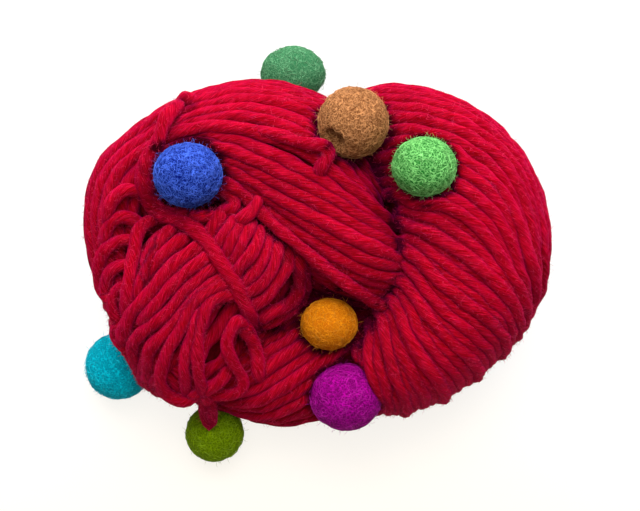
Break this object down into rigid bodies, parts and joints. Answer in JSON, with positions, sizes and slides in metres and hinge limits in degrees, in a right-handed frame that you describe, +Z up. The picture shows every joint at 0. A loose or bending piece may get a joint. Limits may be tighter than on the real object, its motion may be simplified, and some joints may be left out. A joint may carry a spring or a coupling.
{
  "type": "hank of knitting yarn with felt balls",
  "caption": "Twisted hank of thick red wool yarn, bound by a strand of the same yarn, with coloured felted wool balls strung on it.",
  "frame": {"origin": "on the table, under the middle of the part's box", "axes": "+X along the hank towards the fanned bundle, +Y away from its front edge, +Z up"},
  "size_m": [0.1764, 0.1622, 0.0833],
  "materials": {
    "red_wool": "soft spun wool, matt with a fine halo of fibres",
    "felt_blue": "felted wool, matt with loose surface fibres",
    "felt_brown": "felted wool, matt with loose surface fibres",
    "felt_green": "felted wool, matt with loose surface fibres",
    "felt_mustard": "felted wool, matt with loose surface fibres",
    "felt_purple": "felted wool, matt with loose surface fibres",
    "felt_sea_green": "felted wool, matt with loose surface fibres",
    "felt_teal": "felted wool, matt with loose surface fibres",
    "felt_olive": "felted wool, matt with loose surface fibres"
  },
  "bodies": {
    "root": {"hank": "red_wool", "tie_strand": "red_wool", "felt_ball_blue": "felt_blue", "felt_ball_brown": "felt_brown", "felt_ball_green": "felt_green", "felt_ball_mustard": "felt_mustard", "felt_ball_purple": "felt_purple", "felt_ball_sea_green": "felt_sea_green", "felt_ball_teal": "felt_teal", "felt_ball_olive": "felt_olive"}
  },
  "joints": []
}
